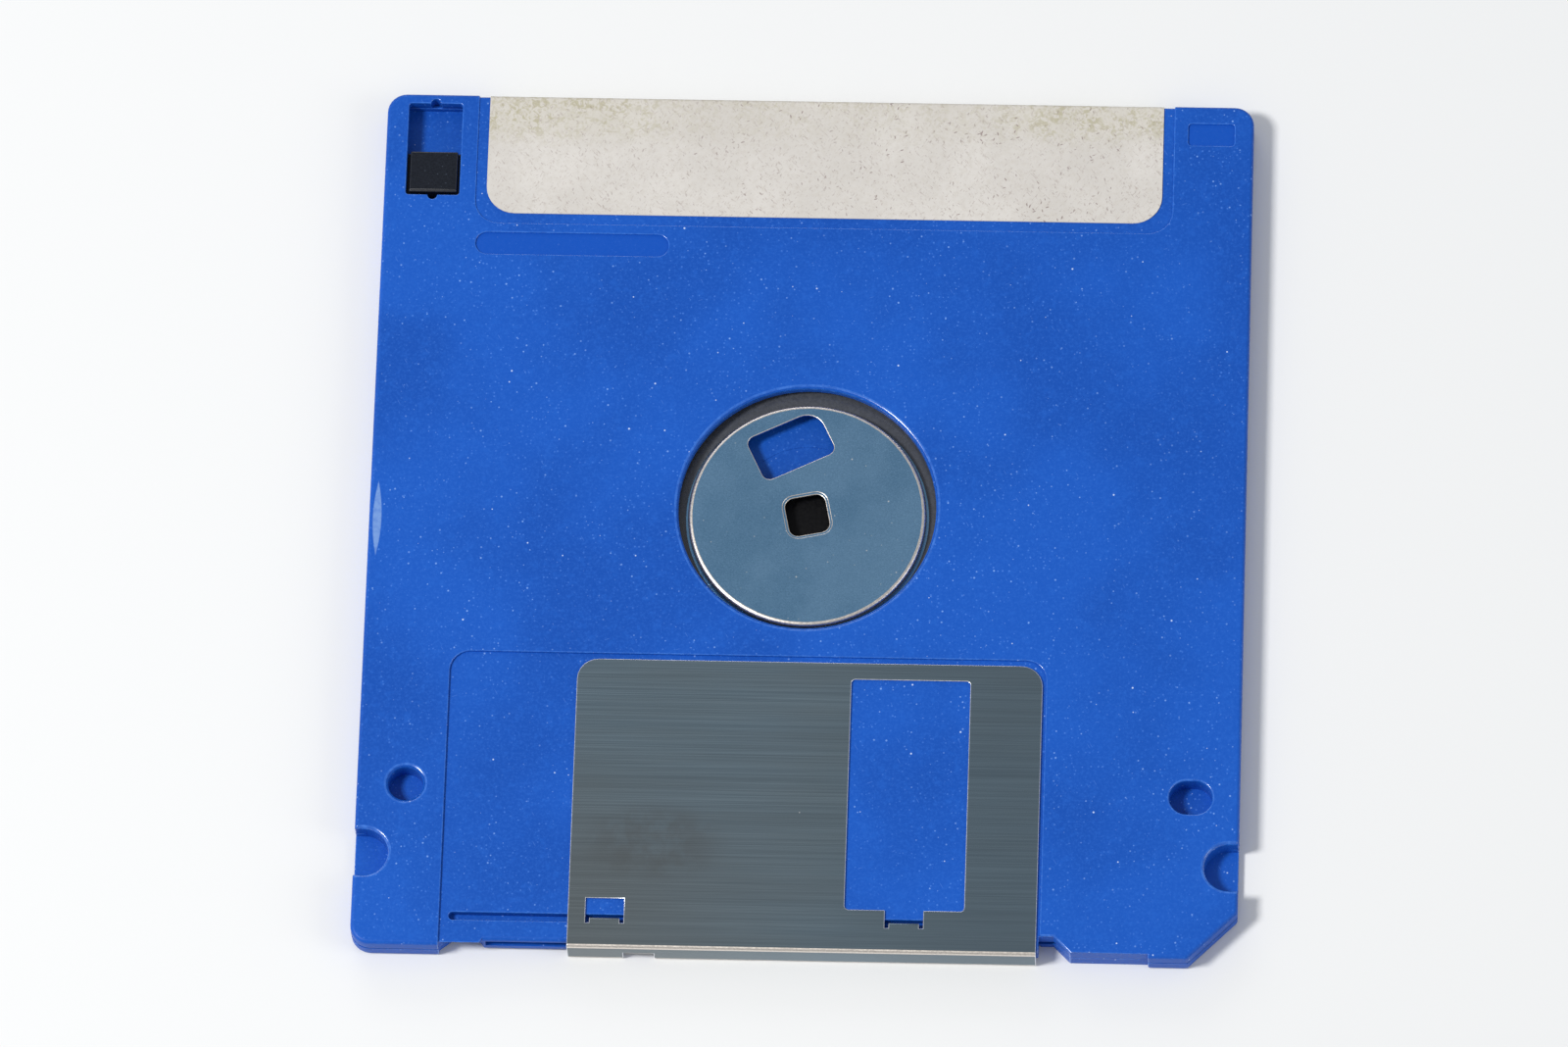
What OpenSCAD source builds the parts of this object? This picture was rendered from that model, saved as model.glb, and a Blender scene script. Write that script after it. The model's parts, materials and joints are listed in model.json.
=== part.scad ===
// Flexible magnetic disk in its rigid two-shell case, hub side up, shutter toward -Y.
// Millimetres. Origin at the middle of the underside, +Y toward the label end, +Z out of the hub side.

/* [Case] */
// Width of the case
case_w = 90.0; // [89.5:0.1:94]
// Length of the case, shutter end to label end
case_l = 94.0; // [93:0.1:98]
// Thickness of the closed case
case_t = 3.3; // [3.2:0.05:3.6]
// Plan radius of the three round corners
corner_r = 2.0; // [1:0.1:3]
// Leg of the 45 degree keying corner
corner_cut = 5.0; // [3.5:0.1:6]
// Rounding at both ends of the keying corner
key_r = 0.65; // [0.45:0.05:1]
// Rounding along the outer edges
edge_r = 0.4; // [0.25:0.05:0.6]
// Small bevel of both shells along the parting line
parting_bevel = 0.06; // [0.02:0.01:0.12]
// Thickness of the outer side walls
side_wall = 1.2; // [0.9:0.05:1.6]
// Wall from the space of the disk to the outside of the case, where it is thinnest
ring_wall = 1.0; // [0.8:0.05:1.5]
// Thickness of the hub side face
roof_t = 1.0; // [0.9:0.05:1.1]
// Thickness of the label side face
floor_t = 0.9; // [0.8:0.05:1.05]
// Thickness of the inner ribs and of the tubes round the holes
rib_t = 0.8; // [0.5:0.05:1.1]
// Radius of the posts where the shells are welded
post_r = 1.3; // [1:0.1:1.6]
// Distance of the posts from the outside of the case
post_side = 3.6; // [3:0.1:4.2]

/* [Locating holes and notches] */
// Distance of the locating holes from the shutter end
hole_line = 17.4; // [17:0.1:18]
// Distance of each locating hole from its side of the case
hole_side = 5.0; // [4.7:0.1:6]
// Diameter of the round locating hole
hole_d = 3.6; // [3:0.1:4]
// Length of the slotted locating hole
slot_l = 4.4; // [4.1:0.1:4.8]
// Bevel on the rims of the holes
rim = 0.2; // [0.1:0.05:0.3]
// Width of the handling notch in each side
notch_w = 5.0; // [3.5:0.1:6]
// Depth of the handling notch from the side
notch_in = 3.5; // [3:0.1:4]
// Distance of the handling notch from the shutter end
notch_line = 9.9; // [9.5:0.1:10.3]

/* [Front edge] */
// How far the lip left of the shutter lies behind the front
lip_in = 0.35; // [0.2:0.05:0.6]
// How far the lip's foot lies behind its edge
lip_under = 1.0; // [0.5:0.05:1.2]
// Run of the ramp at the left end of the lip
lip_ramp = 1.3; // [0.8:0.1:2]
// Wall between the lip and the slot of the spring's tab
lip_wall = 0.65; // [0.5:0.05:0.9]
// Run of the ramp from the lip to the nose
nose_ramp = 0.5; // [0.3:0.05:0.6]
// Rounding of the nose's edges
nose_r = 0.4; // [0.2:0.05:0.45]
// Width of the catch notch right of the shutter
catch_w = 1.5; // [1:0.1:2]
// Depth of the catch notch from the front
catch_d = 2.1; // [1.5:0.1:2.2]
// Depth of the step beside the catch notch
step_d = 0.4; // [0.2:0.05:0.6]
// Distance of the step's end from the right side
step_side = 9.0; // [8:0.1:10]

/* [Disk] */
// Distance from the locating holes to the spindle centre
hub_line = 31.0; // [30.6:0.1:31.4]
// Play of the disk in its space, all round
film_play = 1.1; // [0.9:0.05:1.3]
// Thickness of the magnetic disk
film_t = 0.08; // [0.06:0.01:0.12]
// How far the loose disk has slid toward the shutter
disk_slip = 0.55; // [0:0.05:0.6]
// Diameter of the raised hub
hub_d = 24.5; // [24:0.1:25]
// Gap from the hub to its access hole, when the disk is centred
access_gap = 1.0; // [0.85:0.05:1.5]
// Width of the hub's flange behind the disk
flange_w = 2.75; // [2:0.05:3.2]
// Gap from the flange to the side of its pit, when the disk is centred
pit_gap = 1.0; // [0.8:0.05:1.3]
// Gap from the hub to the hole in the disk
bore_gap = 0.25; // [0.1:0.05:0.4]
// Height of the hub from the back of its flange
hub_h = 1.45; // [1.3:0.05:1.55]
// Depth of the hub's face below the case face
hub_sink = 0.7; // [0.6:0.05:0.8]
// Sheet thickness of the hub
hub_t = 0.3; // [0.2:0.05:0.4]
// Rounding of the hub's rim
hub_rim = 0.45; // [0.35:0.05:0.6]
// Side of the square spindle hole
drive_sq = 4.2; // [3.6:0.1:4.4]
// Corner radius of the square spindle hole
drive_r = 0.95; // [0.6:0.05:1.1]
// Width of the coined edge round the square hole
coin_w = 0.25; // [0.15:0.05:0.35]
// Depth of the coined edge
coin_d = 0.05; // [0.03:0.01:0.08]
// Length of the drive pin slot
pin_slot_l = 8.0; // [6.5:0.1:8.4]
// Width of the drive pin slot
pin_slot_w = 5.1; // [3.8:0.1:5.4]
// Distance of the drive pin slot's centre from the hub's side
pin_slot_in = 4.35; // [4.05:0.05:4.65]
// Corner radius of the drive pin slot
pin_slot_r = 0.85; // [0.5:0.05:1.1]
// Radius of the slot's outer leading corner
pin_slot_lead = 1.9; // [1.2:0.1:2.2]
// Angle that the hub has turned to
hub_turn = 12; // [0:1:45]
// Angle from the square hole's axis to the middle of the slot
pin_slot_at = 2; // [0:0.5:4]
// Tilt of the drive pin slot against the square hole
pin_slot_tilt = 14; // [10:0.5:20]
// Thickness of the adhesive ring
glue_t = 0.05; // [0.03:0.01:0.08]
// Distance of the adhesive ring's edge from the flange's edge
glue_in = 0.4; // [0.2:0.05:0.8]
// Thickness of the liners
liner_t = 0.2; // [0.1:0.05:0.25]
// Gap from the liners to the walls round them
liner_gap = 0.3; // [0.2:0.05:0.6]
// Margin of the liners' cut-out round the head window
liner_cut = 1.0; // [0.6:0.1:1.6]
// Diameter of the wear pad under the hub
pad_d = 9.0; // [7:0.1:10]
// Thickness of the wear pad
pad_t = 0.25; // [0.15:0.05:0.4]
// Radius of the shallow step round the wear pad
pad_step_r = 7.7; // [6:0.1:9]
// Depth of the shallow step
pad_step = 0.05; // [0.03:0.01:0.08]

/* [Liner lifter] */
// Width of the liner lifter
lifter_w = 13.5; // [10:0.1:15]
// Length of the liner lifter
lifter_l = 15.2; // [12:0.1:17]
// Gap from the lifter to the side of the head window
lifter_side = 2.0; // [1.5:0.1:3]
// Distance of the lifter from the near end of the head window
lifter_near = 3.0; // [2:0.1:4]
// Gap round the lifter in its bed
lifter_gap = 0.1; // [0.05:0.05:0.2]

/* [Shutter] */
// Width of the shutter
shutter_w = 47.6; // [47.1:0.1:48.1]
// Offset of the closed shutter from the centre line
shutter_off = 0.85; // [0.55:0.05:1.15]
// Margin of the shutter behind its window
shutter_top = 1.8; // [1.2:0.1:2.4]
// Sheet thickness of the shutter
sheet_t = 0.2; // [0.15:0.01:0.23]
// Inner radius of the folds
fold_r = 0.15; // [0.1:0.05:0.2]
// Radius of the two free corners
shutter_r = 2.2; // [1.5:0.1:3]
// Opening travel
shutter_travel = 11.2; // [11:0.1:11.6]
// Depth of the shutter's recess in each face
recess_d = 0.3; // [0.28:0.01:0.35]
// Running gap between the shutter and the recess faces
shutter_gap = 0.05; // [0.03:0.01:0.07]
// Gap from the closed shutter to the right end of its recess
recess_gap = 0.35; // [0.2:0.05:0.5]
// Gap from the open shutter to the left end of its recess
recess_spare = 1.85; // [0.8:0.05:2.2]
// Gap from the shutter's end to the end of its recess
recess_end = 0.6; // [0.3:0.05:1]
// How far the folded edge lies behind the front of the case
web_in = 0; // [0:0.01:0.15]
// Gap between the folded edge and the nose of the case
web_gap = 0.5; // [0.3:0.05:0.6]
// Width of the head window
head_w = 9.0; // [8.5:0.1:9.5]
// Near end of the head window, from the spindle centre
head_near = 19.2; // [19:0.1:20]
// How far the head window reaches past the edge of the disk
head_over = 0.5; // [0.2:0.05:0.6]
// Width of the shutter's own window
window_w = 12.15; // [11.5:0.05:12.6]
// Margin of the shutter's window past each end of the head window
window_end = 0.4; // [0.2:0.05:0.6]
// Width of each guide tab's cut-out
tab_w = 3.9; // [3.4:0.1:4.2]
// Length of the left guide tab's cut-out
tab_cut_l = 2.35; // [1.8:0.05:2.8]
// Depth of the guide tabs below the sheet
tab_deep = 0.75; // [0.5:0.05:0.8]
// Distance of the left guide tab from the shutter's edge
tab_in = 1.8; // [1.5:0.1:2.2]
// Gap beside each guide tab in its cut-out
tab_relief = 0.4; // [0.3:0.05:0.6]
// Distance of the guide groove's centre from the front
groove_line = 3.23; // [3.2:0.01:3.3]
// Width of the guide groove
groove_w = 0.84; // [0.7:0.02:0.9]
// Depth of the guide groove
groove_d = 0.95; // [0.9:0.05:1]
// Room for the left guide tab past its open place
groove_spare = 2.7; // [1:0.1:3]
// Room for the right guide tab past its closed place
groove_end = 2.0; // [1:0.1:3]
// Wall behind the guide groove
groove_wall = 0.55; // [0.4:0.05:0.7]

/* [Shutter spring] */
// Wire diameter of the spring
wire_d = 0.3; // [0.2:0.05:0.35]
// Mean radius of the coil
coil_r = 1.6; // [1.2:0.1:2]
// Distance of the spring's anchor from the inside of the left wall
anchor_in = 7.0; // [6:0.1:8]
// Distance of the spring's anchor from the nose of the case
anchor_back = 5.2; // [4.5:0.1:6]
// Distance from the anchor to the middle of the coil, along the case's front
coil_out = 7.8; // [7:0.1:9]
// How much further back the coil lies than the anchor
coil_back = 1.5; // [1:0.1:2]
// Radius of the stop behind the anchor
stop_r = 0.5; // [0.4:0.05:0.7]
// Width of the spring's tab
spring_tab_w = 3.1; // [2.5:0.1:3.4]
// Length of the spring's tab behind the folded edge
spring_tab_l = 1.8; // [1.6:0.05:1.9]
// Distance of the spring's hook from the end of its tab
hook_in = 0.5; // [0.4:0.05:0.6]
// Gap between the wire and the shells above and below
wire_gap = 0.12; // [0.08:0.01:0.15]
// Room for the spring's tab past its open place
tab_spare = 2.8; // [0.5:0.1:3]
// Room for the spring's tab past its closed place
tab_end = 0.7; // [0.4:0.1:1]

/* [Write-protect slide] */
// Width of the slide's window
wp_w = 5.57; // [5.2:0.01:5.8]
// Distance of the window from the left side
wp_side = 2.24; // [2.1:0.01:2.6]
// Distance of the window from the label end
wp_end = 1.08; // [1:0.01:1.4]
// Length of the slide
wp_slide_l = 4.65; // [4.4:0.01:4.8]
// Travel of the slide
wp_travel = 5.0; // [4.7:0.05:5.1]
// Length of the window beyond the slide and its travel
wp_play = 0.62; // [0.4:0.02:0.8]
// Side of the sensing hole in the label side
wp_hole = 4.0; // [3.5:0.1:4.2]
// Gap along the sides of the slide
wp_gap = 0.3; // [0.2:0.01:0.32]
// Width of the lips that hold the slide under the hub side face
wp_lip = 0.45; // [0.35:0.05:0.6]
// Radius of the pen notches in the ends of the window
pen_r = 0.5; // [0.3:0.05:0.6]
// Depth of the slide's front lip below the case face
slide_sink = 0.2; // [0.1:0.05:0.3]
// Depth of the dish in the slide's top
slide_dish = 0.35; // [0.2:0.05:0.5]
// Length of the slide's front lip
slide_lip = 0.3; // [0.2:0.05:0.5]

/* [Label] */
// Distance of the label from the left side of the case
label_left = 10.65; // [10:0.05:12]
// Distance of the label from the right side of the case
label_right = 9.35; // [8:0.05:11]
// Length of the label's flap on the hub side
label_flap = 13.3; // [12:0.1:14]
// Distance from the shutter's recess to the label on the label side
label_clear = 6.5; // [4:0.1:12]
// Thickness of the label
label_t = 0.12; // [0.08:0.01:0.14]
// Depth of the label's recess
label_recess_d = 0.15; // [0.15:0.01:0.2]
// Corner radius of the label
label_r = 3.0; // [2:0.1:4]
// Margin of the label's recess round the label
label_margin = 1.1; // [0.6:0.05:1.3]
// Radius of the label's folds
wrap_r = 0.3; // [0.2:0.05:0.5]

/* [Bare recesses] */
// Length of the long round-ended recess
pill_l = 20.0; // [16:0.1:22]
// Width of the long round-ended recess
pill_w = 2.42; // [2:0.02:2.6]
// Distance of the long recess from the label's recess
pill_gap = 1.08; // [0.6:0.02:2]
// How far the long recess starts left of the label
pill_out = 0.9; // [0:0.1:1.5]
// Depth of the bare recesses
bare_d = 0.2; // [0.1:0.05:0.3]
// Length of the small square-cornered recess
chip_l = 4.77; // [4:0.01:5]
// Width of the small square-cornered recess
chip_w = 2.43; // [2:0.01:2.8]
// Distance of the small recess from the right side and the label end
chip_side = 2.0; // [1.5:0.05:2.5]

/* [Hidden] */
eps = 0.01;
// how far a cut runs past the outside of the case
past = 3;
blue = [0.17, 0.38, 0.77];
steel = [0.36, 0.38, 0.36];

front_y = -case_l / 2;
rear_y = case_l / 2;
left_x = -case_w / 2;
right_x = case_w / 2;
split_z = case_t / 2;
cav_z = case_t - roof_t;
hole_x = right_x - hole_side;
hole_y = front_y + hole_line;
hub_y = hole_y + hub_line;
notch_y = front_y + notch_line;
groove_y = front_y + groove_line;
rail_y1 = groove_y + groove_w / 2 + groove_wall;

// disk space: as large as the sides, the label end and the rail in front leave it
rail_gap = 0.2;
ring_r = min(case_w / 2 - ring_wall, rear_y - ring_wall - hub_y, hub_y - rail_y1 - rail_gap);
ring_out = ring_r + min(rib_t, ring_wall - 0.3);
film_r = ring_r - film_play;
disk_y = hub_y - disk_slip;
access_r = hub_d / 2 + access_gap;
flange_r = hub_d / 2 + flange_w;
hub_pit_r = flange_r + pit_gap;
hub_pit_z = floor_t - 0.1;
pad_z = hub_pit_z - pad_step;

// disk stack
hub_top = case_t - hub_sink;
flange_z = hub_top - hub_h;
glue_z = flange_z + hub_t;
film_z = glue_z + glue_t;
film_bore = hub_d / 2 + bore_gap;

// head window, then the shutter round it
head_y0 = hub_y - film_r - head_over;
head_y1 = hub_y - head_near;
win_x = shutter_travel;
win_y0 = head_y0 - window_end;
win_y1 = head_y1 + window_end;
sh_x0 = shutter_off - shutter_w / 2;
sh_x1 = shutter_off + shutter_w / 2;
web_y = front_y + web_in;
sh_end = win_y1 + shutter_top;
face_hi = case_t - recess_d;
face_lo = recess_d;
sheet_hi = face_hi + shutter_gap;
sheet_lo = face_lo - shutter_gap;
rec_x0 = sh_x0 - shutter_travel - recess_spare;
rec_x1 = sh_x1 + recess_gap;
rec_y1 = sh_end + recess_end;
rec_r = shutter_r - 0.1;
tab_y = groove_y - sheet_t / 2;
tab_a_x = sh_x0 + tab_in + tab_w / 2;
tab_b_x = win_x;
groove_x0 = tab_a_x - tab_w / 2 - shutter_travel - groove_spare;
groove_x1 = tab_b_x + tab_w / 2 + groove_end;

// spring, its tab and the slot that the tab runs in
wire_r = wire_d / 2;
leg_z = floor_t + wire_gap + wire_r;
tab_z = leg_z + wire_r + 0.1;
stab_x = tab_a_x + tab_w / 2 + spring_tab_w / 2;
stab_y = web_y + sheet_t + spring_tab_l;
hook = [stab_x, stab_y - hook_in];
slot_x0 = stab_x - spring_tab_w / 2 - shutter_travel - tab_spare;
slot_x1 = stab_x + spring_tab_w / 2 + tab_end;
slot_z0 = tab_z - 0.15;
slot_z1 = tab_z + sheet_t + 0.8;
slot_y1 = stab_y + 0.25;
channel_y = hook[1] - wire_r - 0.2;
coil_top = cav_z - wire_gap - wire_r;

// front edge
nose_y = web_y + sheet_t + web_gap;
nose_x1 = rec_x1 - 0.1;
lip_x1 = slot_x0 - lip_wall;
lip_hi = front_y + lip_in;
lip_lo = lip_hi + lip_under;
step_x1 = right_x - step_side;
anchor = [left_x + side_wall + anchor_in, nose_y + anchor_back];
coil_c = anchor + [coil_out, coil_back];

// write-protect slide
wp_l = wp_slide_l + wp_travel + wp_play;
wp_x0 = left_x + wp_side;
wp_x1 = wp_x0 + wp_w;
wp_y1 = rear_y - wp_end;
wp_y0 = wp_y1 - wp_l;
wp_cx = (wp_x0 + wp_x1) / 2;
slide_y0 = wp_y0 + wp_play * 0.65;
slide_y1 = slide_y0 + wp_slide_l;
slide_w = wp_w - 2 * wp_gap;
slide_z0 = floor_t + 0.1;
slide_top = case_t - slide_sink;
pocket_x0 = wp_x0 - wp_lip - 0.1;
pocket_x1 = wp_x1 + wp_lip + 0.1;
pocket_y0 = wp_y0 - 0.15;
pocket_y1 = wp_y1 + 0.1;

// label
lab_x0 = left_x + label_left;
lab_x1 = right_x - label_right;
lab_y0 = rear_y - label_flap;
lab_back = rec_y1 + label_clear;
bed_x0 = lab_x0 - label_margin;
bed_x1 = lab_x1 + label_margin;
bed_y0 = lab_y0 - label_margin;
bed_r = label_r - 0.5;

// points of an arc about (cx, cy)
function arc(cx, cy, r, a0, a1, n = 6) =
    [for (i = [0:n]) let (a = a0 + (a1 - a0) * i / n) [cx + r * cos(a), cy + r * sin(a)]];
// rounded rectangle, whose corner at (x1, y1) may have a radius of its own
function rrect(x0, x1, y0, y1, r, n = 6, far_r = 0) =
    let (q = far_r > 0 ? far_r : r)
    concat(arc(x1 - q, y1 - q, q, 0, 90, n), arc(x0 + r, y1 - r, r, 90, 180, n),
           arc(x0 + r, y0 + r, r, 180, 270, n), arc(x1 - r, y0 + r, r, 270, 360, n));
// rectangle with its two far corners rounded
function bay(x0, x1, y0, y1, r, n = 6) =
    concat([[x0, y0], [x1, y0]], arc(x1 - r, y1 - r, r, 0, 90, n), arc(x0 + r, y1 - r, r, 90, 180, n));
// rectangle with its two near corners rounded
function apron(x0, x1, y0, y1, r, n = 6) =
    concat([[x1, y1], [x0, y1]], arc(x0 + r, y0 + r, r, 180, 270, n), arc(x1 - r, y0 + r, r, 270, 360, n));

module box(x0, x1, y0, y1, z0, z1) translate([x0, y0, z0]) cube([x1 - x0, y1 - y0, z1 - z0]);
module prism(z0, z1) translate([0, 0, z0]) linear_extrude(z1 - z0) children();
// a prism right through the case
module through() prism(-past, case_t + past) children();
// extrudes a (Y, Z) profile along X
module along_x(x0, x1) rotate([90, 0, 90]) translate([0, 0, x0]) linear_extrude(x1 - x0) children();

// upright round corner of the case with its edges rounded below by e0 and above by e1
module corner(x, y, r, z0, z1, e0, e1)
    translate([x, y, 0]) rotate_extrude($fn = 32)
        polygon(concat([[0, z0]], arc(r - e0, z0 + e0, e0, -90, 0, e0 > 0.15 ? 4 : 1),
                       arc(r - e1, z1 - e1, e1, 0, 90, e1 > 0.15 ? 4 : 1), [[0, z1]]));

// outer block of one shell
module blank(z0, z1, e0, e1) {
    diag = right_x - front_y - corner_cut - key_r * sqrt(2);
    hull() {
        corner(left_x + corner_r, front_y + corner_r, corner_r, z0, z1, e0, e1);
        corner(left_x + corner_r, rear_y - corner_r, corner_r, z0, z1, e0, e1);
        corner(right_x - corner_r, rear_y - corner_r, corner_r, z0, z1, e0, e1);
        corner(diag + front_y + key_r, front_y + key_r, key_r, z0, z1, e0, e1);
        corner(right_x - key_r, right_x - key_r - diag, key_r, z0, z1, e0, e1);
    }
}

// space inside the side walls
module cavity(z0, z1)
    prism(z0, z1) difference() {
        polygon(rrect(left_x + side_wall, right_x - side_wall, nose_y + side_wall, rear_y - side_wall, 1));
        polygon([[right_x - corner_cut - side_wall, front_y], [right_x, front_y],
                 [right_x, front_y + corner_cut + side_wall]]);
    }

// ribs, tubes, posts and walls that both shells carry between their faces
module ribs(z0, z1) {
    h = z1 - z0;
    translate([0, hub_y, z0]) cylinder(h = h, r = ring_out, $fn = 128);
    for (s = [-1, 1]) {
        translate([s * hole_x, hole_y, z0])
            cylinder(h = h, r = (s < 0 ? hole_d : slot_l) / 2 + rib_t + rim, $fn = 48);
        box(min(s * (right_x - side_wall - eps), s * (right_x - notch_in - rib_t)),
            max(s * (right_x - side_wall - eps), s * (right_x - notch_in - rib_t)),
            notch_y - notch_w / 2 - rib_t, notch_y + notch_w / 2 + rib_t, z0, z1);
    }
    for (p = [[right_x - post_side, rear_y - post_side],
              [pocket_x1 + rib_t + post_side, rear_y - post_side],
              [left_x + post_side, front_y + post_side],
              [right_x - corner_cut - post_side, rail_y1 + post_r - 0.3]])
        translate([p[0], p[1], z0]) cylinder(h = h, r = post_r, $fn = 32);
    // walls of the slide's pocket
    box(left_x + side_wall - eps, pocket_x1 + rib_t, pocket_y0 - rib_t, rear_y - side_wall + eps, z0, z1);
}

// front outline: the nose behind the folded edge, the lip at its left and the catch notch at its right
module front_cuts() {
    out = front_y - past;
    nose_c = nose_y + nose_r;
    intersection() {
        along_x(lip_x1 - 1, nose_x1)
            polygon(concat([[out, -1], [nose_c, -1]], arc(nose_c, face_lo + nose_r, nose_r, 270, 180, 4),
                           arc(nose_c, face_hi - nose_r, nose_r, 180, 90, 4),
                           [[nose_c, case_t + 1], [out, case_t + 1]]));
        through() polygon([[lip_x1, out], [lip_x1, lip_hi], [lip_x1 + nose_ramp, nose_c + eps],
                           [nose_x1 + 1, nose_c + eps], [nose_x1 + 1, out]]);
    }
    intersection() {
        along_x(rec_x0 - 1, lip_x1 + nose_ramp + 1)
            polygon([[out, -1], [lip_lo, -1], [lip_lo, face_lo], [lip_hi, face_hi], [lip_hi, case_t + 1],
                     [out, case_t + 1]]);
        through() polygon([[rec_x0, out], [rec_x0, lip_hi + eps], [rec_x0 + lip_ramp, lip_lo + eps],
                           [lip_x1, lip_lo + eps], [lip_x1 + nose_ramp, nose_y], [lip_x1 + nose_ramp, out]]);
    }
    through()
        polygon([[nose_x1 - eps, out], [nose_x1 - eps, front_y + catch_d],
                 [nose_x1 + catch_w, front_y + catch_d],
                 [nose_x1 + catch_w + catch_d - step_d, front_y + step_d], [step_x1, front_y + step_d],
                 [step_x1, out]]);
}

// the label's recess, over the label end and into both faces
module label_bed() {
    d = label_recess_d;
    c = rear_y - d - wrap_r;
    prism(case_t - d, case_t + 1) polygon(apron(bed_x0, bed_x1, bed_y0, rear_y + 1, bed_r));
    prism(-1, d) polygon(apron(bed_x0, bed_x1, lab_back - label_margin, rear_y + 1, bed_r));
    along_x(bed_x0, bed_x1)
        polygon(concat([[rear_y - 2, -1], [rear_y - 2, d]], arc(c, d + wrap_r, wrap_r, 270, 360, 4),
                       arc(c, case_t - d - wrap_r, wrap_r, 0, 90, 4),
                       [[rear_y - 2, case_t - d], [rear_y - 2, case_t + 1], [rear_y + 1, case_t + 1],
                        [rear_y + 1, -1]]));
}

// openings that both shells share
module shared_cuts() {
    translate([-hole_x, hole_y, floor_t]) cylinder(h = case_t, r = hole_d / 2, $fn = 64);
    prism(floor_t, case_t + 1)
        polygon(rrect(hole_x - slot_l / 2, hole_x + slot_l / 2, hole_y - hole_d / 2, hole_y + hole_d / 2,
                      hole_d / 2 - eps, 12));
    for (s = [-1, 1])
        prism(floor_t, case_t + 1)
            polygon([for (p = concat([[past, -notch_w / 2]],
                                     arc(notch_w / 2 - notch_in, 0, notch_w / 2, 270, 90, 16),
                                     [[past, notch_w / 2]])) [s * (right_x + p[0]), notch_y + p[1]]]);
    // slot for the spring's tab and the channel that the spring's hook runs in
    box(slot_x0, slot_x1, front_y - 1, slot_y1, slot_z0, slot_z1);
    box(slot_x0, slot_x1, channel_y, slot_y1, floor_t, slot_z0 + eps);
    through() polygon(rrect(-head_w / 2, head_w / 2, head_y0, head_y1, 0.5, 4));
}

module hub_side_shell() color(blue) difference() {
    union() {
        difference() {
            blank(split_z, case_t, parting_bevel, edge_r);
            cavity(split_z - 1, cav_z);
        }
        ribs(split_z, cav_z + 0.2);
        // rail that carries the guide groove
        box(left_x + side_wall - eps, right_x - corner_cut - side_wall, nose_y + side_wall - eps, rail_y1,
            split_z, cav_z + 0.2);
    }
    translate([0, hub_y, split_z - 1]) cylinder(h = cav_z - split_z + 1, r = ring_r, $fn = 128);
    front_cuts();
    shared_cuts();
    label_bed();
    // shutter recess and guide groove
    prism(face_hi, case_t + 1) polygon(bay(rec_x0, rec_x1, front_y - past, rec_y1, rec_r));
    prism(face_hi - groove_d, case_t)
        polygon(rrect(groove_x0, groove_x1, groove_y - groove_w / 2, groove_y + groove_w / 2,
                      groove_w / 2 - eps, 8));
    // hub access hole and the rims of the holes
    translate([0, hub_y, split_z]) cylinder(h = case_t, r = access_r, $fn = 128);
    translate([0, hub_y, case_t - rim])
        cylinder(h = rim + eps, r1 = access_r, r2 = access_r + rim, $fn = 128);
    translate([-hole_x, hole_y, case_t - rim])
        cylinder(h = rim + eps, r1 = hole_d / 2, r2 = hole_d / 2 + rim, $fn = 64);
    // window of the write-protect slide, with a pen notch in each end, and the slide's pocket
    prism(split_z, case_t + 1) polygon(rrect(wp_x0, wp_x1, wp_y0, wp_y1, 0.3, 4));
    for (y = [wp_y0, wp_y1]) translate([wp_cx, y, split_z]) cylinder(h = case_t, r = pen_r, $fn = 24);
    box(pocket_x0, pocket_x1, pocket_y0, pocket_y1, split_z - 1, cav_z);
    // bare recesses
    prism(case_t - bare_d, case_t + 1) {
        polygon(rrect(lab_x0 - pill_out, lab_x0 - pill_out + pill_l, bed_y0 - pill_gap - pill_w,
                      bed_y0 - pill_gap, pill_w / 2 - eps, 8));
        polygon(rrect(right_x - chip_side - chip_l, right_x - chip_side, rear_y - chip_side - chip_w,
                      rear_y - chip_side, 0.35, 3));
    }
}

module label_side_shell() color(blue) difference() {
    union() {
        difference() {
            blank(0, split_z, edge_r, parting_bevel);
            cavity(floor_t, split_z + 1);
        }
        ribs(floor_t - 0.2, split_z);
        // stop that the spring's fixed leg bears on
        translate([anchor[0] - wire_r - stop_r - 0.15, anchor[1], floor_t - 0.2])
            cylinder(h = cav_z - floor_t, r = stop_r, $fn = 32);
    }
    translate([0, hub_y, floor_t]) cylinder(h = split_z, r = ring_r, $fn = 128);
    translate([0, hub_y, hub_pit_z]) cylinder(h = split_z, r = hub_pit_r, $fn = 128);
    translate([0, hub_y, pad_z]) cylinder(h = split_z, r = pad_step_r, $fn = 96);
    front_cuts();
    shared_cuts();
    label_bed();
    prism(-1, face_lo) polygon(bay(rec_x0, rec_x1, front_y - past, rec_y1, rec_r));
    // pocket and sensing hole of the write-protect slide
    box(pocket_x0, pocket_x1, pocket_y0, pocket_y1, floor_t, split_z + 1);
    prism(-1, floor_t + eps)
        polygon(rrect(wp_cx - wp_hole / 2, wp_cx + wp_hole / 2, slide_y0 + (wp_slide_l - wp_hole) / 2,
                      slide_y0 + (wp_slide_l + wp_hole) / 2, 0.4, 4));
    lifter_bed(lifter_gap);
}

// plan of the liner lifter beside the head window
module lifter_bed(gap)
    prism(floor_t - 0.15, floor_t + eps)
        polygon(rrect(-head_w / 2 - lifter_side - lifter_w - gap, -head_w / 2 - lifter_side + gap,
                      head_y1 - lifter_near - lifter_l - gap, head_y1 - lifter_near + gap, 1));

module liner_lifter() color([0.88, 0.87, 0.83]) intersection() {
    lifter_bed(0);
    prism(0, floor_t) square(2 * case_w, center = true);
}

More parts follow.
